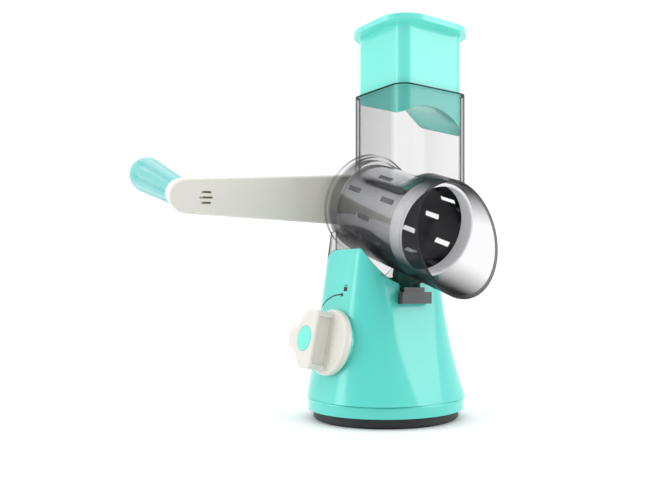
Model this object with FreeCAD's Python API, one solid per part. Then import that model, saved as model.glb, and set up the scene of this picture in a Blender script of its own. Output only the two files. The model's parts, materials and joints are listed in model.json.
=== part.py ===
import FreeCAD, Part
import math
import os

# Rotary cheese grater on a suction base, with its drum, crank, feed tube and pusher.
# Millimetres. +Z is up, +X is towards the outlet, and the lock knob is on the -Y side.
# The origin is the centre of the suction pad's flat underside.

Vector = FreeCAD.Vector
Placement = FreeCAD.Placement
Rotation = FreeCAD.Rotation

# ---------------------------------------------------------------- driving sizes
base_radius = 62.5
pad_radius = 58.0
pad_height = 8.0
base_height = 9.0
pad_web = 3.0
pad_rim_width = 6.0
floor_thickness = 3.0

foot_half_x = 61.0
foot_half_y = 61.0
foot_corner = 54.0
waist_half_x = 46.0
waist_half_y = 51.0
waist_corner = 34.0
waist_height = 50.0
flare_height = 92.0
top_half_x = 30.0
top_half_y = 38.5
top_corner = 13.0
pedestal_top = 133.0
pedestal_offset_x = -4.7
pedestal_wall = 2.8
ear_front_radius = 10.0
ear_rear_radius = 21.0
ear_front_x = 28.5
ear_rear_x = -33.0

barrel_tilt = 17.2
barrel_x = 63.2
barrel_z = 145.5
barrel_radius = 39.5
barrel_wall = 2.5
barrel_back = -94.2
back_flange_radius = 41.0
back_flange_width = 4.0
mouth_top_x = 79.0
mouth_top_z = 183.0
mouth_bottom_x = 92.0
mouth_bottom_z = 95.0
cradle_axis_z = 143.5
cradle_radius = 38.5

tube_x_min = -8.0
tube_x_max = 58.0
tube_y_min = -30.0
tube_y_max = 39.0
tube_corner = 12.0
tube_top = 252.5
tube_wall = 2.5

pusher_gap = 1.1
pusher_wall = 2.5
pusher_floor = 3.0
pusher_raise = 46.0
pusher_arch_radius = 43.0
pusher_flange_overhang = 8.0
pusher_flange_thickness = 5.0
pusher_flange_corner = 24.0

drum_radius = 34.5
drum_sheet = 0.8
drum_back = -85.0
drum_ring_radius = 35.2
drum_ring_length = 11.7
drum_ring_bore = 33.0
drum_slot_rows = 6
drum_slot_columns = 3
drum_slot_length = 17.0
drum_slot_width = 4.0

shaft_radius = 5.0
shaft_square = 7.0
crank_length = 142.0
crank_drop_angle = 4.7
arm_lean = 27.0
arm_thickness = 8.0
arm_hub_radius = 22.0
arm_end_radius = 13.5
arm_hub_boss_radius = 15.0
arm_gap = 6.0
arm_edge_round = 2.2
grip_length = 88.0
grip_collar_length = 6.5
grip_collar_radius = 11.3
grip_neck_radius = 11.0
grip_end_radius = 15.4
grip_flutes = 8
grip_flute_radius = 5.0
grip_flute_depth = 0.9
spindle_radius = 3.0

knob_x = 0.0
knob_z = 61.0
knob_radius = 25.5
knob_disc = 6.0
knob_seat_depth = 3.5
knob_handle_height = 20.0
knob_handle_right = 4.0
knob_handle_half = 22.5
knob_tip_reach = 34.0
knob_tip_half = 7.0
dot_radius = 9.7
dot_x = -10.0
dot_thickness = 1.5
lock_shaft_radius = 5.0
lock_boss_length = 26.0
lock_boss_radius = 9.0

cam_radius = 9.0
pad_lift = 3.0
cam_width = 8.0
rod_radius = 4.0
lift_plate_radius = 30.0
lift_plate_thickness = 3.0
spring_cup_top = 27.0
spring_radius = 8.0
spring_wire = 1.2
spring_turns = 5
guide_length = 5.0

tab_half_width = 15.5
tab_neck_half = 10.0
tab_bottom = 91.0
tab_height = 9.0
tab_thickness = 4.5
tab_travel = 1.2

screw_radius = 1.6
screw_head_radius = 3.2
screw_head_height = 2.2
screw_length = 16.0
screw_half_x = 31.0
screw_half_y = 34.0

running_gap = 0.08
seat_gap = 0.4
part_gap = 0.3
bush_wall = 1.6

# ---------------------------------------------------------------- derived places
base_top = pad_height + base_height
floor_bottom = base_top - floor_thickness
barrel_inner = barrel_radius - barrel_wall
cam_offset = pad_lift / math.sqrt(2.0)
arm_front = barrel_back - arm_gap
lean_angle = math.atan(arm_lean / (crank_length + arm_hub_radius))
lean_thickness = arm_thickness / math.cos(lean_angle)
hub_back = arm_front - lean_thickness - (arm_hub_radius + arm_hub_boss_radius) * math.tan(lean_angle)
arm_end_front = arm_front - arm_lean
grip_seat = arm_end_front - lean_thickness - grip_collar_radius * math.tan(lean_angle)
spindle_top = arm_end_front - 2.0


# ---------------------------------------------------------------- helpers
def in_barrel(shape):
    """Move a shape from the barrel's own frame, +Z towards the outlet and +X down, into place."""
    moved = shape.copy()
    turn = Rotation(Vector(0, 1, 0), 90.0 + barrel_tilt)
    moved.Placement = Placement(Vector(barrel_x, 0, barrel_z), turn).multiply(moved.Placement)
    return moved


def on_knob(shape):
    """Move a shape from the knob's own frame, +Z outwards and +Y up, onto the pedestal's face."""
    moved = shape.copy()
    turn = Rotation(Vector(1, 0, 0), 90.0 - knob_tilt)
    moved.Placement = Placement(Vector(knob_x, knob_y, knob_z), turn).multiply(moved.Placement)
    return moved


def on_crank(shape):
    """Turn a shape of the crank from straight out to the angle at which it rests."""
    moved = shape.copy()
    turn = Placement(Vector(0, 0, 0), Rotation(Vector(0, 0, 1), crank_drop_angle))
    moved.Placement = turn.multiply(moved.Placement)
    return in_barrel(moved)


def cylinder(radius, low, high, x=0.0, y=0.0):
    return Part.makeCylinder(radius, high - low, Vector(x, y, low))


def ring(outer, inner, low, high, x=0.0, y=0.0):
    return cylinder(outer, low, high, x, y).cut(cylinder(inner, low, high, x, y))


def block(x0, x1, y0, y1, z0, z1):
    return Part.makeBox(x1 - x0, y1 - y0, z1 - z0, Vector(x0, y0, z0))


def rounded_wire(x0, x1, y0, y1, radius, z):
    """Rectangle with four equal round corners, as one closed wire at height z."""
    reach = radius * (1.0 - math.sqrt(0.5))
    corners = [(x1, y0, -1, 1), (x1, y1, -1, -1), (x0, y1, 1, -1), (x0, y0, 1, 1)]
    edges = []
    last = None
    first = None
    for index, (cx, cy, sx, sy) in enumerate(corners):
        along_x = Vector(cx + sx * radius, cy, z)
        along_y = Vector(cx, cy + sy * radius, z)
        middle = Vector(cx + sx * reach, cy + sy * reach, z)
        start, end = (along_x, along_y) if index % 2 == 0 else (along_y, along_x)
        if last is not None:
            edges.append(Part.makeLine(last, start))
        else:
            first = start
        edges.append(Part.Arc(start, middle, end).toShape())
        last = end
    edges.append(Part.makeLine(last, first))
    return Part.Wire(edges)


def rounded_prism(x0, x1, y0, y1, radius, low, high):
    return Part.Face(rounded_wire(x0, x1, y0, y1, radius, low)).extrude(Vector(0, 0, high - low))


def rounded_outline(corners, z):
    """Closed wire through corners given as (x, y, radius), each rounded by a tangent arc."""
    count = len(corners)
    edges = []
    ends = []
    for index, (x, y, radius) in enumerate(corners):
        here = Vector(x, y, z)
        before = Vector(corners[index - 1][0], corners[index - 1][1], z) - here
        after = Vector(corners[(index + 1) % count][0], corners[(index + 1) % count][1], z) - here
        before.normalize()
        after.normalize()
        half = before.getAngle(after) / 2.0
        reach = radius / math.tan(half)
        bisector = before + after
        bisector.normalize()
        centre = here + bisector * (radius / math.sin(half))
        middle = centre - bisector * radius
        start = here + before * reach
        end = here + after * reach
        edges.append(Part.Arc(start, middle, end).toShape())
        ends.append((start, end))
    lines = []
    for index in range(count):
        start = ends[index][1]
        end = ends[(index + 1) % count][0]
        lines.append(Part.makeLine(start, end))
    wire = []
    for arc, line in zip(edges, lines):
        wire.extend([arc, line])
    return Part.Wire(wire)


def revolve(points):
    """Solid of revolution about Z from a closed profile of (radius, height) points."""
    wire = Part.makePolygon([Vector(r, 0, z) for r, z in points + points[:1]])
    return Part.Face(wire).revolve(Vector(0, 0, 0), Vector(0, 0, 1), 360)


def edges_at(shape, height, tolerance=0.01):
    """Edges of a shape that lie wholly in the plane at one height."""
    found = []
    for edge in shape.Edges:
        box = edge.BoundBox
        if abs(box.ZMin - height) < tolerance and abs(box.ZMax - height) < tolerance:
            found.append(edge)
    return found


def mix(low, high, share):
    return low + (high - low) * share


def outline_sizes(z):
    """Half lengths, corner radius and centre of the pedestal's outline at height z."""
    share = (z - waist_height) / (pedestal_top - waist_height)
    flare = max(0.0, (flare_height - z) / (flare_height - base_top)) ** 2
    foot_share = (base_top - waist_height) / (pedestal_top - waist_height)
    half_x = mix(waist_half_x, top_half_x, share)
    half_x += flare * (foot_half_x - mix(waist_half_x, top_half_x, foot_share))
    half_y = mix(waist_half_y, top_half_y, share)
    half_y += flare * (foot_half_y - mix(waist_half_y, top_half_y, foot_share))
    corner = mix(waist_corner, top_corner, share)
    corner += flare * (foot_corner - mix(waist_corner, top_corner, foot_share))
    return half_x, half_y, corner, pedestal_offset_x * (1.0 - flare)


def side_y(z):
    return outline_sizes(z)[1]


# The knob turns about the normal of the chord across its disc on the pedestal's -Y side.
knob_slope = (side_y(knob_z - knob_radius) - side_y(knob_z + knob_radius)) / (2.0 * knob_radius)
knob_tilt = math.degrees(math.atan(knob_slope))
knob_y = -(side_y(knob_z - knob_radius) + side_y(knob_z + knob_radius)) / 2.0
knob_inward = -knob_y / math.cos(math.radians(knob_tilt))
cam_z = knob_z - knob_inward * math.sin(math.radians(knob_tilt))


def outline_wire(z, inset):
    half_x, half_y, corner, centre = outline_sizes(z)
    half_x -= inset
    half_y -= inset
    return rounded_wire(centre - half_x, centre + half_x, -half_y, half_y, corner - inset, z)


def outline_solid(inset, low, high):
    """The pedestal's tapered form, drawn in by inset, between two heights."""
    heights = [mix(base_top, flare_height, step / 4.0) for step in range(5)]
    heights += [mix(flare_height, pedestal_top, 0.5), pedestal_top, pedestal_top + 20.0]
    whole = Part.makeLoft([outline_wire(z, inset) for z in heights], True, False)
    far = 2.0 * base_radius
    return whole.common(block(-far, far, -far, far, low, high))


def front_face_x(z):
    sizes = outline_sizes(z)
    return sizes[0] + sizes[3]


def ear_region(grow):
    """The space kept by the pedestal's two ears and its lower walls, grown by a clearance."""
    far = 2.0 * base_radius
    top = pedestal_top + grow
    rear = ear_rear_x - grow
    front = ear_front_x + grow
    corner_rear = ear_rear_radius
    corner_front = ear_front_radius
    low_rear = top - corner_rear
    profile = rounded_outline([
        (rear, 0.0, 1.0),
        (front, 0.0, 1.0),
        (front, top, corner_front),
        (rear, top, corner_rear),
    ], 0.0)
    ears = Part.Face(profile).extrude(Vector(0, 0, 2.0 * far))
    ears.Placement = Placement(Vector(0, far, 0), Rotation(Vector(1, 0, 0), 90))
    lower = block(-far, far, -far, far, 0.0, low_rear)
    cradle = Part.makeCylinder(cradle_radius - grow, 2.0 * far, Vector(-far, 0, cradle_axis_z), Vector(1, 0, 0))
    return ears.fuse(lower).cut(cradle)


# ---------------------------------------------------------------- base
def make_suction_pad():
    inner = pad_radius - pad_rim_width
    return revolve([
        (0.0, 0.0),
        (pad_radius - 1.5, 0.0),
        (pad_radius, 1.5),
        (pad_radius, floor_bottom - part_gap),
        (inner, floor_bottom - part_gap),
        (inner, pad_web + 2.0),
        (inner - 2.0, pad_web),
        (0.0, pad_web),
    ])


def screw_places():
    return [(pedestal_offset_x / 2.0 + sx * screw_half_x, sy * screw_half_y)
            for sx in (-1, 1) for sy in (-1, 1)]


def make_base_ring():
    body = cylinder(base_radius, pad_height, base_top)
    body = body.makeFillet(1.5, edges_at(body, base_top))
    body = body.cut(cylinder(pad_radius + part_gap, pad_height, floor_bottom))
    cup_inner = spring_radius + spring_wire + 1.0
    cup_outer = cup_inner + floor_thickness
    body = body.fuse(cylinder(cup_outer, floor_bottom, spring_cup_top))
    body = body.fuse(cylinder(rod_radius + floor_thickness, spring_cup_top, spring_cup_top + guide_length))
    body = body.cut(cylinder(cup_inner, floor_bottom - 1.0, spring_cup_top - floor_thickness))
    body = body.cut(cylinder(rod_radius + running_gap, floor_bottom, spring_cup_top + guide_length))
    for x, y in screw_places():
        body = body.cut(cylinder(screw_radius + part_gap, floor_bottom, base_top, x, y))
    return body.removeSplitter()


def make_base_screws():
    screws = []
    for x, y in screw_places():
        head = cylinder(screw_head_radius, floor_bottom - screw_head_height, floor_bottom, x, y)
        slot = block(x - screw_head_radius, x + screw_head_radius, y - 0.4, y + 0.4,
                     floor_bottom - screw_head_height, floor_bottom - screw_head_height + 0.9)
        stem = cylinder(screw_radius, floor_bottom, floor_bottom + screw_length, x, y)
        screws.append(head.fuse(stem).cut(slot))
    return Part.makeCompound(screws)


def make_pedestal_shell():
    shell = outline_solid(0.0, base_top, pedestal_top)
    shell = shell.cut(outline_solid(pedestal_wall, base_top - 1.0, pedestal_top + 1.0))
    shell = shell.common(ear_region(0.0))
    inside = outline_solid(pedestal_wall / 2.0, base_top, pedestal_top)
    for x, y in screw_places():
        boss_top = floor_bottom + screw_length + 3.0
        boss = cylinder(screw_radius + 3.0, base_top, boss_top, x, y)
        side = math.copysign(base_radius, y)
        rib = block(x - 1.2, x + 1.2, min(y, side), max(y, side), base_top, boss_top)
        shell = shell.fuse(boss.fuse(rib).common(inside))
        shell = shell.cut(cylinder(screw_radius, base_top, floor_bottom + screw_length, x, y))
    boss = on_knob(cylinder(lock_boss_radius, -lock_boss_length, 0.0))
    seat = on_knob(cylinder(knob_radius - 2.5, -knob_seat_depth, 0.0))
    shell = shell.fuse(boss).fuse(seat)
    shell = shell.cut(on_knob(cylinder(lock_shaft_radius + bush_wall, -lock_boss_length - 1.0, 5.0)))
    notch_floor = tab_bottom + tab_height - part_gap
    notch_half = tab_neck_half + part_gap
    shell = shell.cut(block(0.0, base_radius, -notch_half, notch_half, notch_floor, pedestal_top))
    return shell.removeSplitter()


# ---------------------------------------------------------------- lock mechanism
def make_lock_bush():
    outer = lock_shaft_radius + bush_wall
    inner = lock_shaft_radius + running_gap
    return on_knob(ring(outer, inner, -lock_boss_length, 0.3))


def cam_centre():
    """Place of the cam's disc in the knob's frame, down and to the left of the shaft's axis."""
    turn = math.radians(-135.0)
    return cam_offset * math.cos(turn), cam_offset * math.sin(turn)


def make_lock_shaft():
    low = -knob_inward - cam_width / 2.0
    shaft = cylinder(lock_shaft_radius, low, 4.0)
    socket = block(-lock_shaft_radius, lock_shaft_radius, lock_shaft_radius * 0.6, lock_shaft_radius, 0.8, 4.0)
    return on_knob(shaft.cut(socket))


def make_lock_cam():
    x, y = cam_centre()
    low = -knob_inward - cam_width / 2.0
    disc = cylinder(cam_radius, low, low + cam_width, x, y)
    return on_knob(disc.cut(cylinder(lock_shaft_radius, low, low + cam_width)))


def make_shaft_clip():
    low = -lock_boss_length - 1.5
    clip = ring(lock_shaft_radius + 2.4, lock_shaft_radius, low, low + 1.2)
    mouth = block(-2.2, 2.2, -lock_shaft_radius - 3.0, 0.0, low, low + 1.2)
    return on_knob(clip.cut(mouth))


def make_lift_yoke():
    y = cam_centre()[1]
    side = cam_offset + part_gap
    slot_x = cam_radius + side
    slot_low = y - cam_radius - part_gap
    slot_high = y + cam_radius + part_gap
    frame_wall = 4.0
    low = -knob_inward - cam_width / 2.0
    outer = block(-slot_x - frame_wall, slot_x + frame_wall, slot_low - frame_wall, slot_high + frame_wall,
                  low, low + cam_width)
    inner = block(-slot_x, slot_x, slot_low, slot_high, low, low + cam_width)
    yoke = on_knob(outer.cut(inner))
    boss_top = cam_z + slot_low - 1.0
    boss_low = spring_cup_top + guide_length + 1.0
    keep_out = on_knob(block(-slot_x, slot_x, slot_low, slot_high, low - 3.0, low + cam_width + 3.0))
    boss = cylinder(rod_radius + 3.0, boss_low, boss_top).cut(keep_out)
    yoke = yoke.fuse(boss)
    return yoke.cut(cylinder(rod_radius, boss_low, rod_top())).removeSplitter()


def rod_top():
    """The pull rod ends inside the yoke's boss, under the slot."""
    return cam_z + cam_centre()[1] - cam_radius - part_gap - 5.0


def make_lift_plate():
    low = pad_web + 0.2
    plate = cylinder(lift_plate_radius, low, low + lift_plate_thickness)
    return plate.makeFillet(0.8, edges_at(plate, low + lift_plate_thickness))


def make_pull_rod():
    low = pad_web + 0.2 + lift_plate_thickness
    head = cylinder(rod_radius + 5.0, low, low + 2.0)
    return head.fuse(cylinder(rod_radius, low, rod_top())).removeSplitter()


def make_return_spring():
    low = pad_web + 0.2 + lift_plate_thickness + 2.0 + spring_wire / 2.0 + part_gap
    high = spring_cup_top - floor_thickness - spring_wire / 2.0 - part_gap
    pitch = (high - low) / spring_turns
    helix = Part.makeLongHelix(pitch, high - low, spring_radius)
    helix.translate(Vector(0, 0, low))
    path = helix.Edges[0]
    start = path.valueAt(path.FirstParameter)
    section = Part.Wire(Part.makeCircle(spring_wire / 2.0, start, path.tangentAt(path.FirstParameter)))
    return Part.Wire(helix.Edges).makePipeShell([section], True, True)


def make_lock_knob():
    disc = cylinder(knob_radius, part_gap * 2.0, knob_disc)
    disc = disc.makeFillet(2.0, edges_at(disc, knob_disc))
    half = knob_handle_half
    step = -0.4 * knob_tip_reach
    bend = -0.68 * knob_tip_reach
    outline = rounded_outline([
        (knob_handle_right, -half, 4.0),
        (knob_handle_right, half, 4.0),
        (step, half, 8.0),
        (bend, knob_tip_half + 2.5, 9.0),
        (-knob_tip_reach, knob_tip_half - 0.5, 4.0),
        (-knob_tip_reach, -knob_tip_half + 0.5, 4.0),
        (bend, -knob_tip_half - 2.5, 9.0),
        (step, -half, 8.0),
    ], knob_disc - 3.0)
    handle = Part.Face(outline).extrude(Vector(0, 0, knob_handle_height - knob_disc + 3.0))
    handle = handle.makeFillet(2.0, edges_at(handle, knob_handle_height))
    scoop_radius = 40.0
    scoop_depth = 1.6
    scoop_half = half - 4.5
    scoop = Part.makeCylinder(scoop_radius, 2.0 * scoop_half,
                              Vector(knob_handle_right + scoop_radius - scoop_depth, -scoop_half,
                                     (knob_handle_height + knob_disc) / 2.0), Vector(0, 1, 0))
    lift = block(0.0, 3.0 * scoop_radius, -half, half, knob_disc + 1.5, knob_handle_height - 2.0)
    handle = handle.cut(scoop.common(lift))
    knob = disc.fuse(handle)
    knob = knob.cut(cylinder(dot_radius + 0.05, knob_handle_height - dot_thickness + 0.2, knob_handle_height + 1.0, dot_x))
    knob = knob.cut(cylinder(lock_shaft_radius, 0.0, 4.0))
    return on_knob(knob.removeSplitter())


def make_knob_dot():
    low = knob_handle_height - dot_thickness + 0.2
    dot = cylinder(dot_radius, low, low + dot_thickness, dot_x)
    return on_knob(dot.makeFillet(0.5, edges_at(dot, low + dot_thickness)))


# ---------------------------------------------------------------- hopper
def mouth_cutter():
    """Everything in front of the slanting plane in which the barrel's mouth is cut."""
    lean = math.degrees(math.atan2(mouth_bottom_x - mouth_top_x, mouth_top_z - mouth_bottom_z))
    far = 3.0 * barrel_radius
    cutter = block(0.0, far, -far, far, -far, far)
    cutter.Placement = Placement(Vector(mouth_top_x, 0, mouth_top_z), Rotation(Vector(0, 1, 0), -lean))
    return cutter


def above_axis():
    """Everything above the plane through the barrel's axis, in the barrel's own frame."""
    far = 6.0 * barrel_radius
    return in_barrel(block(-far, 0.0, -far, far, -far, far))


def tube_prism(inset, low, high):
    corner = tube_corner - inset
    return rounded_prism(tube_x_min + inset, tube_x_max - inset, tube_y_min + inset, tube_y_max - inset,
                         corner, low, high)


def plug_bottom():
    return pedestal_top - ear_rear_radius - 8.0


def upright(inset, low, high):
    """The outline of the pedestal's top edge, moved inwards and carried straight up and down."""
    outline = Part.Face(outline_wire(pedestal_top, inset)).extrude(Vector(0, 0, high - low))
    return outline.translated(Vector(0, 0, low - pedestal_top))


def make_skirt():
    """Neck under the barrel: flush with the pedestal above it, and an upright plug inside its walls."""
    far = 2.0 * base_radius
    neck_top = pedestal_top + 15.0
    flush = outline_solid(0.0, cradle_axis_z - cradle_radius, neck_top)
    flush = flush.cut(ear_region(seat_gap))
    plug = upright(pedestal_wall + seat_gap, plug_bottom(), neck_top)
    hollow = upright(pedestal_wall + seat_gap + tube_wall, plug_bottom() - 1.0, neck_top)
    skirt = flush.fuse(plug).cut(hollow)
    front_space = block(0.0, far, -tab_neck_half - 1.0, tab_neck_half + 1.0, 0.0, tab_bottom + tab_height + 5.0)
    return skirt.cut(front_space)


def make_hopper():
    barrel = cylinder(barrel_radius, barrel_back, 90.0)
    barrel = barrel.fuse(cylinder(back_flange_radius, barrel_back, barrel_back + back_flange_width))
    barrel = barrel.fuse(cylinder(shaft_radius + bush_wall + 3.0, barrel_back - 4.0, barrel_back + 4.5))
    outer = in_barrel(barrel).fuse(tube_prism(0.0, 100.0, tube_top).common(above_axis()))
    outer = outer.fuse(make_skirt())
    inner = in_barrel(cylinder(barrel_inner, barrel_back + barrel_wall, 95.0))
    inner = inner.fuse(tube_prism(tube_wall, 100.0, tube_top + 1.0).common(above_axis()))
    boss = in_barrel(cylinder(shaft_radius + bush_wall + 3.0, barrel_back - 4.0, barrel_back + 4.5))
    body = outer.cut(inner).fuse(boss).cut(mouth_cutter())
    body = body.cut(in_barrel(cylinder(shaft_radius + bush_wall, barrel_back - 5.0, barrel_back + 5.0)))
    return body.removeSplitter()


def make_release_tab():
    face = front_face_x(tab_bottom) + tab_travel + part_gap
    bar = rounded_prism(face, face + tab_thickness, -tab_half_width, tab_half_width, 1.5,
                        tab_bottom, tab_bottom + tab_height)
    root = front_face_x(tab_bottom + tab_height) - pedestal_wall
    neck = block(root, face + 1.6, -tab_neck_half, tab_neck_half,
                 tab_bottom + tab_height - 1.5, tab_bottom + tab_height + 3.5)
    clear = block(0.0, face, -base_radius, base_radius, 0.0, tab_bottom + tab_height)
    return bar.fuse(neck.cut(clear)).removeSplitter()


def make_pusher():
    inset = tube_wall + pusher_gap
    top = tube_top + pusher_raise + pusher_flange_thickness
    body = tube_prism(inset, barrel_z, top)
    arch = in_barrel(cylinder(pusher_arch_radius, barrel_back - 100.0, 150.0))
    arch.translate(Vector(0, 0, pusher_raise))
    below = above_axis().translated(Vector(0, 0, pusher_raise))
    body = body.common(below).cut(arch)
    overhang = pusher_flange_overhang - inset
    flange = rounded_prism(tube_x_min - overhang, tube_x_max + overhang, tube_y_min - overhang,
                           tube_y_max + overhang, pusher_flange_corner, top - pusher_flange_thickness, top)
    flange = flange.makeFillet(1.6, edges_at(flange, top))
    cup = tube_prism(inset + pusher_wall, barrel_z, top + 1.0)
    floor = in_barrel(cylinder(pusher_arch_radius + pusher_floor, barrel_back - 100.0, 150.0))
    floor.translate(Vector(0, 0, pusher_raise))
    cup = cup.common(below).cut(floor)
    return body.fuse(flange).cut(cup).removeSplitter()


# ---------------------------------------------------------------- drum
def make_drum_shell():
    shell = ring(drum_radius, drum_radius - drum_sheet, drum_back, -drum_ring_length + 2.0)
    room = -drum_ring_length - 4.0 - (drum_back + 4.0)
    step = room / drum_slot_columns
    for column in range(drum_slot_columns):
        middle = drum_back + 4.0 + step * (column + 0.5)
        low = middle - drum_slot_length / 2.0
        for row in range(drum_slot_rows):
            cut = block(drum_radius - 3.0, drum_radius + 3.0, -drum_slot_width / 2.0, drum_slot_width / 2.0,
                        low, low + drum_slot_length)
            turn = 360.0 * (row + 0.5 * (column % 2)) / drum_slot_rows
            cut.rotate(Vector(0, 0, 0), Vector(0, 0, 1), turn)
            shell = shell.cut(cut)
    return on_crank(shell)


def make_drum_front_ring():
    low = -drum_ring_length
    body = cylinder(drum_ring_radius, low, 0.0)
    body = body.makeFillet(0.8, edges_at(body, 0.0))
    body = body.cut(cylinder(drum_ring_bore, low, 0.0))
    body = body.cut(ring(drum_radius + 0.02, drum_radius - drum_sheet - 0.02, low, low + 2.0))
    return on_crank(body)


def make_drum_rear_hub():
    plate = cylinder(drum_radius - drum_sheet, drum_back, drum_back + 4.0)
    boss = cylinder(shaft_square + 3.0, drum_back - 1.0, drum_back + 12.0)
    half = shaft_square / 2.0 + running_gap
    socket = block(-half, half, -half, half, drum_back - 1.0, drum_back + 9.0)
    return on_crank(plate.fuse(boss).cut(socket).removeSplitter())


# ---------------------------------------------------------------- crank
def make_crank_bush():
    outer = shaft_radius + bush_wall
    inner = shaft_radius + running_gap
    return in_barrel(ring(outer, inner, barrel_back - 4.0, barrel_back + 4.5))


def make_crank_shaft():
    round_part = cylinder(shaft_radius, hub_back, barrel_back + 5.0)
    shoulder = cylinder(shaft_radius + 2.5, arm_front, barrel_back - 4.0 - part_gap)
    half = shaft_square / 2.0
    square = block(-half, half, -half, half, barrel_back + 5.0, drum_back + 8.0)
    return on_crank(round_part.fuse(shoulder).fuse(square).removeSplitter())


def arm_outline(length):
    """Two round ends, a large one at the hub and a small one at the grip, joined by tangents."""
    taper = math.asin((arm_hub_radius - arm_end_radius) / length)
    hub = [Vector(side * arm_hub_radius * math.cos(taper), -arm_hub_radius * math.sin(taper), 0)
           for side in (-1, 1)]
    end = [Vector(side * arm_end_radius * math.cos(taper), -length - arm_end_radius * math.sin(taper), 0)
           for side in (-1, 1)]
    edges = [
        Part.Arc(hub[0], Vector(0, arm_hub_radius, 0), hub[1]).toShape(),
        Part.makeLine(hub[1], end[1]),
        Part.Arc(end[1], Vector(0, -length - arm_end_radius, 0), end[0]).toShape(),
        Part.makeLine(end[0], hub[0]),
    ]
    return Part.Wire(edges)


def make_arm_blade():
    """The flat arm, leaning away from the barrel so that its end passes behind the raised pusher."""
    length = crank_length / math.cos(lean_angle)
    blade = Part.Face(arm_outline(length)).extrude(Vector(0, 0, -arm_thickness))
    rims = edges_at(blade, 0.0) + edges_at(blade, -arm_thickness)
    blade = blade.makeFillet(arm_edge_round, rims)
    for index in (-1, 0, 1):
        half_length = 5.0 if index == 0 else 3.8
        low_x = 4.2 * index - 0.8
        blade = blade.cut(block(low_x, low_x + 1.6, 14.0 - length - half_length, 14.0 - length + half_length,
                                -2.0, 0.0))
    blade.translate(Vector(0, -arm_hub_radius / math.cos(lean_angle), 0))
    blade.rotate(Vector(0, 0, 0), Vector(1, 0, 0), math.degrees(lean_angle))
    blade.translate(Vector(0, arm_hub_radius, arm_front))
    return blade


def make_crank_arm():
    hub = cylinder(arm_hub_boss_radius, hub_back, arm_front)
    seat = cylinder(grip_collar_radius, grip_seat, arm_end_front - 3.0, 0.0, -crank_length)
    arm = make_arm_blade().fuse(hub).fuse(seat)
    arm = arm.cut(cylinder(shaft_radius, hub_back - 1.0, arm_front + 1.0))
    arm = arm.cut(cylinder(spindle_radius, grip_seat - 1.0, spindle_top, 0.0, -crank_length))
    return on_crank(arm.removeSplitter())


def make_crank_screw():
    head = cylinder(shaft_radius + 3.0, hub_back - 2.4, hub_back)
    head = head.makeFillet(0.9, edges_at(head, hub_back - 2.4))
    cross = block(-2.6, 2.6, -0.5, 0.5, hub_back - 2.4, hub_back - 1.2)
    cross = cross.fuse(block(-0.5, 0.5, -2.6, 2.6, hub_back - 2.4, hub_back - 1.2))
    return on_crank(head.cut(cross))


def make_grip_spindle():
    low = grip_seat - grip_collar_length - grip_length + 14.0
    return on_crank(cylinder(spindle_radius, low, spindle_top, 0.0, -crank_length))


def make_grip_collar():
    low = grip_seat - grip_collar_length
    body = cylinder(grip_collar_radius, low, grip_seat, 0.0, -crank_length)
    body = body.cut(cylinder(spindle_radius, low, grip_seat, 0.0, -crank_length))
    return on_crank(body)


def make_handle_grip():
    high = grip_seat - grip_collar_length - part_gap
    low = high - grip_length
    round_start = low + grip_end_radius
    profile = [Vector(0, 0, high), Vector(grip_neck_radius, 0, high)]
    start = Vector(grip_end_radius, 0, round_start)
    tip = Vector(0, 0, low)
    diagonal = grip_end_radius * math.sqrt(0.5)
    middle = Vector(diagonal, 0, round_start - diagonal)
    edges = [
        Part.makeLine(profile[0], profile[1]),
        Part.makeLine(profile[1], start),
        Part.Arc(start, middle, tip).toShape(),
        Part.makeLine(tip, profile[0]),
    ]
    body = Part.Face(Part.Wire(edges)).revolve(Vector(0, 0, 0), Vector(0, 0, 1), 360)
    slope = math.atan2(grip_end_radius - grip_neck_radius, high - round_start)
    direction = Vector(math.sin(slope), 0, -math.cos(slope))
    flute_start = Vector(grip_neck_radius + grip_flute_radius - grip_flute_depth, 0, high) - direction * 2.0
    for index in range(grip_flutes):
        flute = Part.makeCylinder(grip_flute_radius, high - round_start - 4.0, flute_start, direction)
        flute.rotate(Vector(0, 0, 0), Vector(0, 0, 1), 360.0 * (index + 0.5) / grip_flutes)
        body = body.cut(flute)
    body = body.cut(cylinder(spindle_radius + running_gap, low + 13.0, high))
    body.translate(Vector(0, -crank_length, 0))
    return on_crank(body)


# ---------------------------------------------------------------- build
makers = {
    "suction_pad": make_suction_pad,
    "base_ring": make_base_ring,
    "base_screws": make_base_screws,
    "pedestal_shell": make_pedestal_shell,
    "lock_shaft_bush": make_lock_bush,
    "lock_shaft": make_lock_shaft,
    "lock_cam": make_lock_cam,
    "lock_shaft_clip": make_shaft_clip,
    "lift_yoke": make_lift_yoke,
    "lift_plate": make_lift_plate,
    "pull_rod": make_pull_rod,
    "return_spring": make_return_spring,
    "lock_knob": make_lock_knob,
    "knob_dot": make_knob_dot,
    "hopper": make_hopper,
    "release_tab": make_release_tab,
    "pusher": make_pusher,
    "drum_shell": make_drum_shell,
    "drum_front_ring": make_drum_front_ring,
    "drum_rear_hub": make_drum_rear_hub,
    "crank_bush": make_crank_bush,
    "crank_shaft": make_crank_shaft,
    "crank_arm": make_crank_arm,
    "crank_screw": make_crank_screw,
    "grip_spindle": make_grip_spindle,
    "grip_collar": make_grip_collar,
    "handle_grip": make_handle_grip,
}

os.makedirs("parts", exist_ok=True)
for name, maker in makers.items():
    shape = maker()
    box = shape.BoundBox
    sizes = f"{box.XLength:.1f} x {box.YLength:.1f} x {box.ZLength:.1f} mm"
    print(f"{name:18s} solids {len(shape.Solids)} valid {shape.isValid()} {sizes}")
    shape.exportStep(f"parts/{name}.step")
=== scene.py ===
import json
import math

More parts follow.
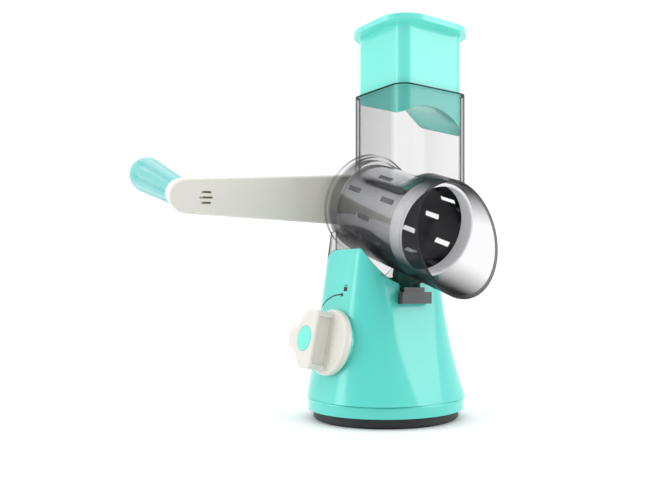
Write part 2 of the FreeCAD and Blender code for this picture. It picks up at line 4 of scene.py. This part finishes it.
import bmesh
import bpy
from bpy.props import FloatProperty, FloatVectorProperty, IntProperty, PointerProperty
from mathutils import Matrix, Vector
from mathutils.bvhtree import BVHTree


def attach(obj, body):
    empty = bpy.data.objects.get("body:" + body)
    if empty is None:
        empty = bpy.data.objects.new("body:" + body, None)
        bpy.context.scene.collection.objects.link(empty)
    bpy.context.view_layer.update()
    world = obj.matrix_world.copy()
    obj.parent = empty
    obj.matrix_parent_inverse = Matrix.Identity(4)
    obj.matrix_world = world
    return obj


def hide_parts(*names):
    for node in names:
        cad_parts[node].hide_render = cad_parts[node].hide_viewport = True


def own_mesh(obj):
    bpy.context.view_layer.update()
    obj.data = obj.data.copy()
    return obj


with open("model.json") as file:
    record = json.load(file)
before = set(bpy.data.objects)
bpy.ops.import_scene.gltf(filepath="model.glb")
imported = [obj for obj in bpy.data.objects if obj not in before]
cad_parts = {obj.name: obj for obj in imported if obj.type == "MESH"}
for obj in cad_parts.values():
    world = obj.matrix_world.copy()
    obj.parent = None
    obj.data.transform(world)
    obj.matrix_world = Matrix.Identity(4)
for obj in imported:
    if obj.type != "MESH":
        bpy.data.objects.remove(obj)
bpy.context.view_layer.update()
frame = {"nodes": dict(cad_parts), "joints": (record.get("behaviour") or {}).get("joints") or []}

bl_info = {
    "name": "Rotary Grater Finishes",
    "version": (1, 0, 0),
    "blender": (4, 5, 0),
    "location": "3D View > Sidebar > Grater",
    "description": "Mouldings, sheet metal and finishes of a hand-cranked rotary grater",
    "category": "Object",
}

# soft boxes: name, degrees round from the lens, degrees up, distance, width, height, watts
SOFT_BOXES = [
    ("key", -78.0, 16.0, 1.3, 0.45, 1.5, 4.5),
    ("fill", 76.0, 16.0, 1.3, 0.45, 1.5, 4.5),
    ("top", 8.0, 78.0, 1.4, 0.9, 0.9, 3.0),
]
# height that the soft boxes are aimed at
AIM_HEIGHT = 0.15
# half strengths of the tent's walls, from behind the lens round to beyond the object, and of its roof
TENT_WALLS = [
    (0.0, (0.01, 0.01, 0.01, 1.0)),
    (0.14, (0.04, 0.04, 0.04, 1.0)),
    (0.40, (0.60, 0.60, 0.60, 1.0)),
    (0.8, (0.56, 0.56, 0.56, 1.0)),
]
TENT_ROOF = (0.66, 0.66, 0.66, 1.0)
# rings of points that make the floor, from its middle out
FLOOR_RADII = (0.0, 0.6, 9.0)
# radius between the drum sheet's inner and outer faces, inside which its colour is painted shade
DRUM_SKIN = 0.0341
# thickness of the skin of a clear part's cut edge that reads as dark, and its two cut edges
RIM_DEPTH = 0.0004
MOUTH_TOP = Vector((0.079, 0.0, 0.183))
MOUTH_BOTTOM = Vector((0.092, 0.0, 0.095))
TUBE_TOP = Vector((0.0, 0.0, 0.2525))
# printed arrow: centre of its arc over the knob, radius, half width, and the arc's two ends in degrees
ARROW_CENTRE = (0.0, 0.061)
ARROW_RADIUS = 0.037
ARROW_HALF = 0.00055
ARROW_FROM = 134.0
ARROW_TO = 84.0
# arrow head: half width at its root, at its tip, and how many degrees it takes up
HEAD_ROOT = 0.0019
HEAD_TIP = 0.00005
HEAD_SWEEP = 5.5
# degrees by which the shaft stops short of the arrow's end, and the head overlaps the shaft
SHAFT_SHORT = 4.0
HEAD_LAP = 0.5
# padlock mark: its body's corners across and up the face, then its shackle's centre, radius and half width
LOCK_LOW = (0.0035, 0.1006)
LOCK_HIGH = (0.0083, 0.1038)
SHACKLE_CENTRE = (0.0059, 0.1037)
SHACKLE_RADIUS = 0.0016
SHACKLE_HALF = 0.00035
# how far print stands off the face, and where the rays that find the face start
PRINT_LIFT = 0.00006
PRINT_START = -0.09
# coil spring: wire, turns, steps along the wire and points round it
SPRING_WIRE = 0.0012
SPRING_TURNS = 5
SPRING_STEPS = 160
SPRING_AROUND = 12
# rings along the grip and points round each
GRIP_STEPS = 96
GRIP_AROUND = 128
# share of the rings on the grip's taper, its neck's share of the end radius, and its clearance in the box
GRIP_TAPER = 0.75
GRIP_NECK = 0.715
GRIP_INSET = 0.00002
# share of the rings where the flutes end, and over which they run out
FLUTE_END = 0.70
FLUTE_FADE = 0.08
# linings of the arm's slots: half lengths in order, half width, spacing, depth, and lift off the arm's face
SLOT_HALVES = (0.0038, 0.0050, 0.0038)
SLOT_RADIUS = 0.00085
SLOT_PITCH = 0.0042
SLOT_DEPTH = 0.0008
SLOT_LIFT = 0.00005
# distance from the crank's axis to the first point that sets the arm's face, and of the slots from the grip
BLADE_REACH = 0.060
SLOT_FROM_GRIP = 0.014
# sideways and upward shift of the lens, as shares of the frame's width
LENS_SHIFT = (-0.0794, 0.0529)


# ---------------------------------------------------------------- the frame's own directions
def joint(name):
    """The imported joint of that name."""
    return next(entry for entry in frame["joints"] if entry["name"] == name)


def axis_frame(name):
    """Matrix whose origin lies on a hinge and whose Z runs along its axis, with X pointing down."""
    entry = joint(name)
    along = Vector(entry["axis"]).normalized()
    across = Vector((0.0, 1.0, 0.0))
    down = across.cross(along).normalized()
    turn = Matrix((down, across, along)).transposed().to_4x4()
    return Matrix.Translation(Vector(entry["pos_m"])) @ turn


def span(node, matrix, axis):
    """Lowest and highest coordinate of a CAD node along one axis of a matrix's own frame."""
    back = matrix.inverted()
    values = [(back @ vertex.co)[axis] for vertex in frame["nodes"][node].data.vertices]
    return min(values), max(values)


def surface(node):
    """Search tree over a CAD node's faces, for finding points on it."""
    mesh = frame["nodes"][node].data
    points = [vertex.co for vertex in mesh.vertices]
    return BVHTree.FromPolygons(points, [polygon.vertices for polygon in mesh.polygons])


# ---------------------------------------------------------------- shader building
class Wire:
    """A shader socket that takes part in sums: an expression on it adds its Math nodes."""

    def __init__(self, shader, socket):
        self.shader = shader
        self.socket = socket

    def sum(self, operation, first, second):
        return self.shader.add("ShaderNodeMath", {"operation": operation}, {0: first, 1: second})

    def __add__(self, other):
        return self.sum("ADD", self, other)

    def __radd__(self, other):
        return self.sum("ADD", other, self)

    def __sub__(self, other):
        return self.sum("SUBTRACT", self, other)

    def __rsub__(self, other):
        return self.sum("SUBTRACT", other, self)

    def __mul__(self, other):
        return self.sum("MULTIPLY", self, other)

    def __rmul__(self, other):
        return self.sum("MULTIPLY", other, self)

    def __pow__(self, other):
        return self.sum("POWER", self, other)


class NodeTree:
    """A node tree built by naming nodes, their settings and their inputs."""

    def __init__(self, tree):
        self.tree = tree
        self.tree.nodes.clear()

    def add(self, kind, settings=None, inputs=None, output=0):
        node = self.tree.nodes.new(kind)
        for key, value in (settings or {}).items():
            if key == "stops":
                self.set_stops(node.color_ramp, value)
            else:
                setattr(node, key, value)
        for key, value in (inputs or {}).items():
            if isinstance(value, Wire):
                self.tree.links.new(value.socket, node.inputs[key])
            else:
                node.inputs[key].default_value = value
        return Wire(self, node.outputs[output]) if output is not None else None

    @staticmethod
    def set_stops(ramp, stops):
        while len(ramp.elements) < len(stops):
            ramp.elements.new(0.5)
        for element, (place, colour) in zip(ramp.elements, stops):
            element.position = place
            element.color = colour

    def ramp(self, factor, *stops):
        return self.add("ShaderNodeValToRGB", {"stops": stops}, {"Fac": factor}, "Color")

    def blend(self, factor, first, second):
        return self.add("ShaderNodeMix", {"data_type": "RGBA"}, {0: factor, 6: first, 7: second}, 2)


class Shader(NodeTree):
    """The node tree of one material."""

    def __init__(self, name):
        self.material = bpy.data.materials.new(name)
        self.material.use_nodes = True
        super().__init__(self.material.node_tree)

    def place(self):
        return self.add("ShaderNodeTexCoord", output="Object")

    def noise(self, scale, detail=3.0, where=None):
        inputs = {"Vector": where or self.place(), "Scale": scale, "Detail": detail}
        return self.add("ShaderNodeTexNoise", None, inputs, "Fac")

    def stretched(self, scale):
        return self.add("ShaderNodeMapping", None, {"Vector": self.place(), "Scale": scale})

    def level(self, factor, low, high):
        """Map a 0 to 1 value onto the range from low to high."""
        return factor * (high - low) + low

    def vector(self, operation, *terms, output="Vector"):
        return self.add("ShaderNodeVectorMath", {"operation": operation}, dict(enumerate(terms)), output)

    def bump(self, height, distance, strength=1.0, normal=None):
        inputs = {"Height": height, "Distance": distance, "Strength": strength}
        if normal is not None:
            inputs["Normal"] = normal
        return self.add("ShaderNodeBump", None, inputs, "Normal")

    def soft_edges(self, radius):
        return self.add("ShaderNodeBevel", {"samples": 4}, {"Radius": radius}, "Normal")

    def finish(self, inputs):
        return self.close(self.add("ShaderNodeBsdfPrincipled", None, inputs, "BSDF"))

    def close(self, surface):
        self.add("ShaderNodeOutputMaterial", None, {"Surface": surface}, None)
        return self.material


def grey(level):
    return (level, level, level, 1.0)


def shade(colour, factor):
    """A colour made lighter or darker by a factor, opaque."""
    return (*(min(1.0, part * factor) for part in colour[:3]), 1.0)


# ---------------------------------------------------------------- finishes
def moulded(name, colour, gloss, edge=0.0004, coat=0.0, glow=0.0, contrast=0.012):
    """Injection-moulded plastic: faint flow marks, a fine peel, and handling marks in the gloss."""
    shader = Shader(name)
    flow = shader.noise(14.0, 4.0, shader.stretched((1.0, 1.0, 0.35)))
    peel = shader.noise(700.0, 2.0)
    smear = shader.noise(35.0, 5.0)
    scuff = shader.noise(260.0, 6.0, shader.stretched((1.0, 0.25, 1.0)))
    inputs = {
        "Base Color": shader.blend(flow, shade(colour, 1.0 - contrast), shade(colour, 1.0 + contrast)),
        "Roughness": shader.level(smear, gloss * 0.8, gloss * 1.2) + scuff ** 8.0 * 0.3,
        "IOR": 1.5,
        "Normal": shader.bump(peel, 0.000008, 0.3, shader.soft_edges(edge)),
    }
    if coat:
        inputs["Coat Weight"] = coat
        inputs["Coat Roughness"] = 0.05
    if glow:
        inputs["Subsurface Weight"] = glow
        inputs["Subsurface Radius"] = (0.004, 0.004, 0.004)
        inputs["Subsurface Scale"] = 1.0
    return shader.finish(inputs)


def smoked(name, colour, clear, rims):
    """Clear smoked plastic: see-through face on, nearly black where a wall is seen along its depth.

    Each rim is a plane, given as a point and an outward direction, on which the wall's cut edge lies.
    """
    shader = Shader(name)
    slant = shader.add("ShaderNodeLayerWeight", None, {"Blend": 0.5}, "Facing")
    edge = shader.ramp(slant, (0.34, grey(0.0)), (0.56, grey(0.45)), (0.74, grey(0.97)))
    for point, outward in rims:
        offset = shader.vector("SUBTRACT", shader.place(), point)
        depth = shader.vector("DOT_PRODUCT", offset, outward, output="Value")
        rim = depth.sum("GREATER_THAN", depth, -RIM_DEPTH)
        edge = rim.sum("MAXIMUM", edge, rim * 0.8)
    cloud = shader.noise(9.0, 3.0)
    scuff = shader.noise(300.0, 6.0, shader.stretched((1.0, 1.0, 0.2)))
    wall = shader.add("ShaderNodeBsdfPrincipled", None, {
        "Base Color": shader.blend(cloud, shade(colour, 0.9), shade(colour, 1.15)),
        "Alpha": shader.level(cloud, clear * 0.95, clear * 1.05),
        "Roughness": 0.03 + scuff ** 6.0 * 0.3,
        "IOR": 1.5,
        "Normal": shader.bump(shader.noise(30.0, 2.0), 0.0001, 0.15),
    }, "BSDF")
    depth = shader.add("ShaderNodeBsdfPrincipled", None, {
        "Base Color": shader.blend(cloud, shade(colour, 0.1), shade(colour, 0.3)),
        "Roughness": shader.level(scuff, 0.15, 0.3),
        "Specular IOR Level": 0.1,
    }, "BSDF")
    return shader.close(shader.add("ShaderNodeMixShader", None, {0: edge, 1: wall, 2: depth}, "Shader"))


def brushed(name, colour, around, rough):
    """Rolled or turned steel with fine lines along one direction and a few brighter scratches."""
    shader = Shader(name)
    lines = shader.noise(500.0, 5.0, shader.stretched(around))
    cloud = shader.noise(30.0, 3.0)
    return shader.finish({
        "Base Color": shader.blend(cloud, shade(colour, 0.92), shade(colour, 1.06)),
        "Metallic": 1.0,
        "Roughness": shader.level(lines, rough * 0.8, rough * 1.3),
        "Normal": shader.bump(lines, 0.00001, 0.4),
    })


def drum_sheet(name, colour):
    """Brushed sheet with painted shade on its inner face: the base colour there is darkened to stand for the
    drum's own shade mirrored in it.
    """
    shader = Shader(name)
    crank = joint("crank_turn")
    axis = Vector(crank["axis"]).normalized()
    offset = shader.vector("SUBTRACT", shader.place(), Vector(crank["pos_m"]))
    radius = shader.vector("LENGTH", shader.vector("CROSS_PRODUCT", offset, axis), output="Value")
    # mask of the outer face; the inner face below the skin radius gets painted shade
    unshaded_outside = radius.sum("GREATER_THAN", radius, DRUM_SKIN)
    lines = shader.noise(500.0, 5.0, shader.stretched((0.15, 1.0, 1.0)))
    cloud = shader.noise(30.0, 3.0)
    bright = shader.blend(cloud, shade(colour, 0.92), shade(colour, 1.06))
    return shader.finish({
        # painted shade: the inner face's base colour is 0.22 of the steel's, the outer face keeps the
        # steel's own tone
        "Base Color": shader.blend(unshaded_outside, shade(colour, 0.22), bright),
        "Metallic": 1.0,
        "Roughness": shader.level(lines, 0.10, 0.20),
        "Normal": shader.bump(lines, 0.00001, 0.4),
    })


def rubber(name, colour):
    """Moulded rubber with a dusty bloom and a fine grain."""
    shader = Shader(name)
    dust = shader.noise(45.0, 6.0)
    grain = shader.noise(900.0, 3.0)
    return shader.finish({
        "Base Color": shader.blend(dust ** 3.0, shade(colour, 1.0), shade(colour, 2.2)),
        "Roughness": shader.level(dust, 0.42, 0.68),
        "Normal": shader.bump(grain, 0.00005, 0.7),
    })


def ink(name, colour):
    """Pad-printed ink, very slightly uneven."""
    shader = Shader(name)
    thin = shader.noise(800.0, 4.0)
    return shader.finish({
        "Base Color": shader.blend(thin, shade(colour, 0.8), shade(colour, 1.3)),
        "Roughness": shader.level(thin, 0.35, 0.55),
    })


def wear(material, *nodes):
    """Give CAD nodes one finish."""
    for node in nodes:
        frame["nodes"][node].data.materials.clear()
        frame["nodes"][node].data.materials.append(material)


def skin(model, rings):
    """Faces between each ring of points and the next, all the way round."""
    for near, far in zip(rings, rings[1:]):
        for step in range(len(near)):
            after = (step + 1) % len(near)
            model.faces.new((near[step], near[after], far[after], far[step]))


def finished(model, name, smooth=True):
    """Mesh of a model whose faces all point outward."""
    bmesh.ops.recalc_face_normals(model, faces=model.faces)
    mesh = bpy.data.meshes.new(name)
    model.to_mesh(mesh)
    model.free()
    if smooth:
        mesh.shade_smooth()
    return mesh


def new_piece(name, mesh, material, body):
    """Link a mesh as a named piece of the object, riding on a body."""
    piece = bpy.data.objects.new(name, mesh)
    bpy.context.scene.collection.objects.link(piece)
    mesh.materials.append(material)
    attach(piece, body)
    return piece


# ---------------------------------------------------------------- settings
class GraterColours(bpy.types.PropertyGroup):
    """The colours that the mouldings come in."""

    body: FloatVectorProperty(name="Body", description="Pedestal and base ring", subtype="COLOR",
                              default=(0.10, 0.66, 0.58), min=0.0, max=1.0)
    pusher: FloatVectorProperty(name="Pusher", description="Pusher and knob dot", subtype="COLOR",
                                default=(0.16, 0.76, 0.66), min=0.0, max=1.0)
    grip: FloatVectorProperty(name="Grip", description="Slightly clear grip", subtype="COLOR",
                              default=(0.08, 0.52, 0.50), min=0.0, max=1.0)
    ivory: FloatVectorProperty(name="Ivory", description="Knob and crank arm", subtype="COLOR",
                               default=(0.72, 0.70, 0.64), min=0.0, max=1.0)
    smoke: FloatVectorProperty(name="Smoke", description="Hopper and release tab", subtype="COLOR",
                               default=(0.035, 0.037, 0.042), min=0.0, max=1.0)


class GraterSizes(bpy.types.PropertyGroup):
    """Sizes of what is added to the working parts."""

    flutes: IntProperty(name="Flutes", description="Hollows round the grip", default=8, min=4, max=16)
    flute_depth: FloatProperty(name="Flute depth", description="Depth of each hollow in the grip",
                               default=0.0014, unit="LENGTH")
    camera_distance: FloatProperty(name="Camera distance", description="From the upright axis to the lens",
                                   default=0.5986, unit="LENGTH")
    camera_height: FloatProperty(name="Camera height", description="Height of the lens over the table",
                                 default=0.1052, unit="LENGTH")
    camera_turn: FloatProperty(name="Camera turn", description="Angle of the view round the object",
                               default=math.radians(52.9), subtype="ANGLE")
    lens: FloatProperty(name="Lens", description="Focal length in millimetres", default=40.15)


def colours():
    return bpy.context.scene.grater_colours


def sizes():
    return bpy.context.scene.grater_sizes


# ---------------------------------------------------------------- operators
class GRATER_OT_stage(bpy.types.Operator):
    """White floor, soft boxes in a tent, and the camera"""

    bl_idname = "grater.stage"
    bl_label = "Stage"

    def execute(self, context):
        self.make_floor()
        self.make_lights()
        self.make_camera()
        context.scene.view_settings.view_transform = "Standard"
        return {"FINISHED"}

    def make_floor(self):
        shader = Shader("paper")
        paper = shader.finish({
            "Base Color": shader.blend(shader.noise(3.0, 2.0), grey(0.90), grey(0.93)),
            "Roughness": shader.level(shader.noise(40.0), 0.75, 0.9),
            "Specular IOR Level": 0.1,
        })
        mesh = lathe([(radius, 0.0) for radius in FLOOR_RADII], 96)
        floor = bpy.data.objects.new("floor", mesh)
        mesh.materials.append(paper)
        bpy.context.scene.collection.objects.link(floor)

    def make_lights(self):
        """Two tall soft boxes either side of the lens, in a white tent that is dimmer behind the lens."""
        middle = Vector((0.0, 0.0, AIM_HEIGHT))
        for name, side, rise, away, width, tall, power in SOFT_BOXES:
            angle, lift = sizes().camera_turn + math.radians(side), math.radians(rise)
            level = math.cos(lift)
            out = Vector((math.sin(angle) * level, -math.cos(angle) * level, math.sin(lift)))
            light = bpy.data.lights.new(name, "AREA")
            light.shape = "RECTANGLE"
            light.size, light.size_y, light.energy = width, tall, power
            lamp = bpy.data.objects.new(name, light)
            lamp.location = middle + out * away
            lamp.rotation_euler = (-out).to_track_quat("-Z", "Y").to_euler()
            bpy.context.scene.collection.objects.link(lamp)
        world = bpy.data.worlds.new("tent")
        world.use_nodes = True
        tent = NodeTree(world.node_tree)
        turned = tent.add("ShaderNodeVectorRotate", {"rotation_type": "Z_AXIS"}, {
            "Vector": tent.add("ShaderNodeTexCoord", output="Generated"),
            "Angle": -sizes().camera_turn,
        })
        depth = tent.add("ShaderNodeSeparateXYZ", None, {"Vector": turned}, "Y")
        height = tent.add("ShaderNodeSeparateXYZ", None, {"Vector": turned}, "Z")
        walls = tent.ramp(depth * 0.5 + 0.5, *TENT_WALLS)
        cloth = tent.blend(height, walls, TENT_ROOF)
        glow = tent.add("ShaderNodeBackground", None, {"Color": cloth, "Strength": 2.0})
        tent.add("ShaderNodeOutputWorld", None, {"Surface": glow}, None)
        bpy.context.scene.world = world

    def make_camera(self):
        turn, away = sizes().camera_turn, sizes().camera_distance
        data = bpy.data.cameras.new("camera")
        data.lens = sizes().lens
        data.shift_x, data.shift_y = LENS_SHIFT
        camera = bpy.data.objects.new("camera", data)
        camera.location = (away * math.sin(turn), -away * math.cos(turn), sizes().camera_height)
        camera.rotation_euler = (math.radians(90.0), 0.0, turn)
        bpy.context.scene.collection.objects.link(camera)
        bpy.context.scene.camera = camera


def capsule(half, radius):
    """Round-ended outline, twice half long between its ends along Y, as points in order."""
    points = []
    for end in (1.0, -1.0):
        for step in range(9):
            angle = math.pi * step / 8.0
            along = half - radius + radius * math.sin(angle)
            points.append((end * radius * math.cos(angle), end * along))
    return points


def lathe(profile, count):
    """Mesh of a profile of (radius, height) points turned round Z, smooth all over."""
    model = bmesh.new()
    rings = []
    for radius, height in profile:
        if radius == 0.0:
            rings.append([model.verts.new((0.0, 0.0, height))])
            continue
        rings.append([model.verts.new((radius * math.cos(a), radius * math.sin(a), height))
                      for a in (2.0 * math.pi * step / count for step in range(count))])
    for low, high in zip(rings, rings[1:]):
        for step in range(count):
            after = (step + 1) % count
            corners = [low[step % len(low)], low[after % len(low)]]
            corners += [high[after % len(high)], high[step % len(high)]]
            model.faces.new(list(dict.fromkeys(corners)))
    return finished(model, "lathe")


class GRATER_OT_base(bpy.types.Operator):
    """Pedestal, base ring, suction pad and what is inside them"""

    bl_idname = "grater.base"
    bl_label = "Base"

    def execute(self, context):
        wear(moulded("teal body", colours().body, 0.17, coat=0.3), "pedestal_shell", "base_ring")
        wear(rubber("pad rubber", (0.016, 0.016, 0.017)), "suction_pad")
        nylon = moulded("grey nylon", (0.35, 0.36, 0.37), 0.45)
        wear(nylon, "lock_shaft_bush", "lock_cam", "lift_yoke", "lift_plate", "crank_bush")
        steel = brushed("bright steel", (0.62, 0.61, 0.60), (1.0, 1.0, 0.1), 0.25)
        wear(steel, "base_screws", "lock_shaft", "lock_shaft_clip", "pull_rod")
        wear(steel, "crank_shaft", "crank_screw", "grip_spindle")
        self.make_spring(steel)
        return {"FINISHED"}

    def make_spring(self, material):
        """Coil of wire in the place of the CAD return spring, under its cup."""
        row = Matrix.Identity(4)
        left, right = span("return_spring", row, 0)
        low, high = span("return_spring", row, 2)
        wire = SPRING_WIRE / 2.0
        middle, coil = (left + right) / 2.0, (right - left) / 2.0 - wire
        model = bmesh.new()
        rings = []
        for step in range(SPRING_STEPS + 1):
            share = step / SPRING_STEPS
            turn = 2.0 * math.pi * SPRING_TURNS * share
            height = low + wire + (high - low - 2.0 * wire) * share
            ring = []
            for side in range(SPRING_AROUND):
                angle = 2.0 * math.pi * side / SPRING_AROUND
                reach = coil + wire * math.cos(angle)
                rise = height + wire * math.sin(angle)
                ring.append(model.verts.new((middle + reach * math.cos(turn), reach * math.sin(turn), rise)))
            rings.append(ring)
        skin(model, rings)
        model.faces.new(rings[0])
        model.faces.new(rings[-1])
        spring = new_piece("coil_spring", finished(model, "coil_spring"), material, "base")
        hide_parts("return_spring")
        keep = 1.0 - max(joint("pad_lift")["range_m"]) / (high - low)
        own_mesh(spring)


class GRATER_OT_print(bpy.types.Operator):
    """Printed lock arrow and padlock mark over the knob"""

    bl_idname = "grater.print"
    bl_label = "Printed marks"

    def execute(self, context):
        self.material = ink("black ink", (0.008, 0.008, 0.009))
        self.face = surface("pedestal_shell")
        self.print_bands("lock_arrow", [self.arrow_shaft(), self.arrow_head()])
        self.print_bands("lock_padlock", [self.padlock_body(), self.padlock_shackle()])
        return {"FINISHED"}

    def arc(self, centre, radius, half, start, stop, steps):
        """Pairs of inner and outer points along an arc in the upright plane of the -Y face."""
        pairs = []
        for step in range(steps + 1):
            angle = math.radians(start + (stop - start) * step / steps)
            cos, sin = math.cos(angle), math.sin(angle)
            pairs.append(((centre[0] + (radius - half) * cos, centre[1] + (radius - half) * sin),
                          (centre[0] + (radius + half) * cos, centre[1] + (radius + half) * sin)))
        return pairs

    def arrow_shaft(self):
        return self.arc(ARROW_CENTRE, ARROW_RADIUS, ARROW_HALF, ARROW_FROM, ARROW_TO + SHAFT_SHORT, 24)

    def arrow_head(self):
        pairs = []
        for step in range(7):
            share = step / 6.0
            half = HEAD_ROOT * (1.0 - share) + HEAD_TIP
            start = ARROW_TO + SHAFT_SHORT + HEAD_LAP - HEAD_SWEEP * share
            pairs += self.arc(ARROW_CENTRE, ARROW_RADIUS, half, start, 0.0, 1)[:1]
        return pairs

    def padlock_body(self):
        (left, low), (right, high) = LOCK_LOW, LOCK_HIGH
        places = [left + (right - left) * step / 6.0 for step in range(7)]
        return [((place, low), (place, high)) for place in places]

    def padlock_shackle(self):
        return self.arc(SHACKLE_CENTRE, SHACKLE_RADIUS, SHACKLE_HALF, 0.0, 180.0, 12)

    def on_face(self, point):
        start = Vector((point[0], PRINT_START, point[1]))
        place, normal, _, _ = self.face.ray_cast(start, Vector((0.0, 1.0, 0.0)))
        return place + normal * PRINT_LIFT

    def print_bands(self, name, bands):
        model = bmesh.new()
        for pairs in bands:
            rows = [[model.verts.new(self.on_face(point)) for point in pair] for pair in pairs]
            for near, far in zip(rows, rows[1:]):
                model.faces.new((near[0], near[1], far[1], far[0]))
        for face in model.faces:
            face.normal_update()
            if face.normal.y > 0.0:
                face.normal_flip()
        mesh = bpy.data.meshes.new(name)
        model.to_mesh(mesh)
        model.free()
        new_piece(name, mesh, self.material, "base")


class GRATER_OT_knob(bpy.types.Operator):
    """Lock knob and its coloured dot"""

    bl_idname = "grater.knob"
    bl_label = "Lock knob"

    def execute(self, context):
        wear(moulded("ivory knob", colours().ivory, 0.26, edge=0.0008, glow=0.2), "lock_knob")
        wear(moulded("knob dot", colours().pusher, 0.25), "knob_dot")
        return {"FINISHED"}


class GRATER_OT_hopper(bpy.types.Operator):
    """Smoked hopper, release tab and pusher"""

    bl_idname = "grater.hopper"
    bl_label = "Hopper and pusher"

    def execute(self, context):
        across = MOUTH_BOTTOM - MOUTH_TOP
        outward = Vector((-across.z, 0.0, across.x)).normalized()
        rims = [(MOUTH_TOP, outward), (TUBE_TOP, Vector((0.0, 0.0, 1.0)))]
        wear(smoked("smoked plastic", colours().smoke, 0.075, rims), "hopper")
        wear(smoked("smoked tab", shade(colours().smoke, 0.5)[:3], 0.86, []), "release_tab")
        wear(moulded("teal pusher", colours().pusher, 0.14, edge=0.0006, coat=0.3), "pusher")
        return {"FINISHED"}


class GRATER_OT_drum(bpy.types.Operator):
    """Slicing drum: steel sheet, white ring and hub"""

    bl_idname = "grater.drum"
    bl_label = "Drum"

    def execute(self, context):
        wear(drum_sheet("drum steel, painted inner shade", (0.66, 0.66, 0.68)), "drum_shell")
        white = moulded("white drum plastic", (0.90, 0.89, 0.93), 0.28, edge=0.0005)
        wear(white, "drum_front_ring", "drum_rear_hub")
        return {"FINISHED"}


class GRATER_OT_crank(bpy.types.Operator):
    """Crank arm, collar and the fluted grip"""

    bl_idname = "grater.crank"
    bl_label = "Crank"

    def execute(self, context):
        wear(moulded("ivory arm", colours().ivory, 0.24, edge=0.0006, glow=0.05), "crank_arm")
        wear(moulded("white collar", (0.84, 0.84, 0.82), 0.25), "grip_collar")
        self.make_grip()
        self.make_slot_linings()
        return {"FINISHED"}

    def make_grip(self):
        """Tapering grip with hollow flutes that run out before its domed end."""
        matrix = axis_frame("grip_spin")
        low, high = span("handle_grip", matrix, 2)
        left, right = span("handle_grip", matrix, 0)
        end_radius = (right - left) / 2.0 - GRIP_INSET
        neck_radius = end_radius * GRIP_NECK
        dome = low + end_radius
        model = bmesh.new()
        rings = []
        for step in range(GRIP_STEPS + 1):
            share = step / GRIP_STEPS
            if share < GRIP_TAPER:
                height = high + (dome - high) * share / GRIP_TAPER
                radius = neck_radius + (end_radius - neck_radius) * share / GRIP_TAPER
            else:
                lift = (share - GRIP_TAPER) / (1.0 - GRIP_TAPER) * math.pi / 2.0
                height = dome - end_radius * math.sin(lift)
                radius = end_radius * math.cos(lift)
            fade = min(1.0, max(0.0, (FLUTE_END - share) / FLUTE_FADE))
            ring = []
            for turn in range(GRIP_AROUND):
                angle = 2.0 * math.pi * turn / GRIP_AROUND
                hollow = max(0.0, math.cos(sizes().flutes * angle)) ** 0.8
                reach = radius - sizes().flute_depth * hollow * fade
                point = Vector((reach * math.cos(angle), reach * math.sin(angle), height))
                ring.append(model.verts.new(matrix @ point))
            rings.append(ring)
        skin(model, rings)
        model.faces.new(rings[0])
        bmesh.ops.remove_doubles(model, verts=rings[-1], dist=0.00005)
        material = moulded("teal grip", colours().grip, 0.14, glow=0.2, coat=0.5)
        grip = new_piece("fluted_grip", finished(model, "fluted_grip"), material, "grip")
        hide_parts("handle_grip")

    def make_slot_linings(self):
        """Three brown pads that fill the round-ended slots near the grip."""
        material = moulded("brown slot lining", (0.23, 0.13, 0.02), 0.35)
        matrix = self.blade_frame()
        for index, half in enumerate(SLOT_HALVES):
            model = bmesh.new()
            outline = capsule(half, SLOT_RADIUS)
            middle = SLOT_PITCH * (index - 1)
            rings = []
            for height in (SLOT_LIFT, SLOT_LIFT - SLOT_DEPTH):
                rings.append([model.verts.new(matrix @ Vector((middle + x, y, height))) for x, y in outline])
            skin(model, rings)
            model.faces.new(rings[0])
            model.faces.new(rings[1][::-1])
            mesh = finished(model, "slot_lining", smooth=False)
            new_piece(f"slot_lining_{index + 1}", mesh, material, "crank")

    def blade_frame(self):
        """Frame on the arm's flat face at the middle of the slots: Y along the arm, Z out of the face."""
        crank = axis_frame("crank_turn")
        face = surface("crank_arm")
        grip = crank.inverted() @ Vector(joint("grip_spin")["pos_m"])
        along = Vector((grip.x, grip.y, 0.0)).normalized()
        toward = crank.to_3x3() @ Vector((0.0, 0.0, -1.0))
        hits = []
        for reach in (BLADE_REACH, grip.xy.length - SLOT_FROM_GRIP):
            start = crank @ (along * reach + Vector((0.0, 0.0, 0.05)))
            hits.append(face.ray_cast(start, toward)[0])
        out = -toward
        down_arm = (hits[1] - hits[0]).normalized()
        across = down_arm.cross(out).normalized()
        normal = across.cross(down_arm).normalized()
        turn = Matrix((across, down_arm, normal)).transposed().to_4x4()
        return Matrix.Translation(hits[1]) @ turn


class GRATER_PT_panel(bpy.types.Panel):
    """The grater's pieces, in the order in which they are made"""

    bl_idname = "GRATER_PT_panel"
    bl_label = "Rotary grater"
    bl_space_type = "VIEW_3D"
    bl_region_type = "UI"
    bl_category = "Grater"

    def draw(self, context):
        for operator in OPERATORS:
            self.layout.operator(operator.bl_idname)


OPERATORS = (
    GRATER_OT_stage,
    GRATER_OT_base,
    GRATER_OT_print,
    GRATER_OT_knob,
    GRATER_OT_hopper,
    GRATER_OT_drum,
    GRATER_OT_crank,
)
CLASSES = (GraterColours, GraterSizes, *OPERATORS, GRATER_PT_panel)


def register():
    for cls in CLASSES:
        bpy.utils.register_class(cls)
    bpy.types.Scene.grater_colours = PointerProperty(type=GraterColours)
    bpy.types.Scene.grater_sizes = PointerProperty(type=GraterSizes)


def unregister():
    del bpy.types.Scene.grater_sizes
    del bpy.types.Scene.grater_colours
    for cls in reversed(CLASSES):
        bpy.utils.unregister_class(cls)


def main():
    register()
    bpy.ops.grater.stage()
    bpy.ops.grater.base()
    bpy.ops.grater.print()
    bpy.ops.grater.knob()
    bpy.ops.grater.hopper()
    bpy.ops.grater.drum()
    bpy.ops.grater.crank()


if __name__ == "__main__":
    main()
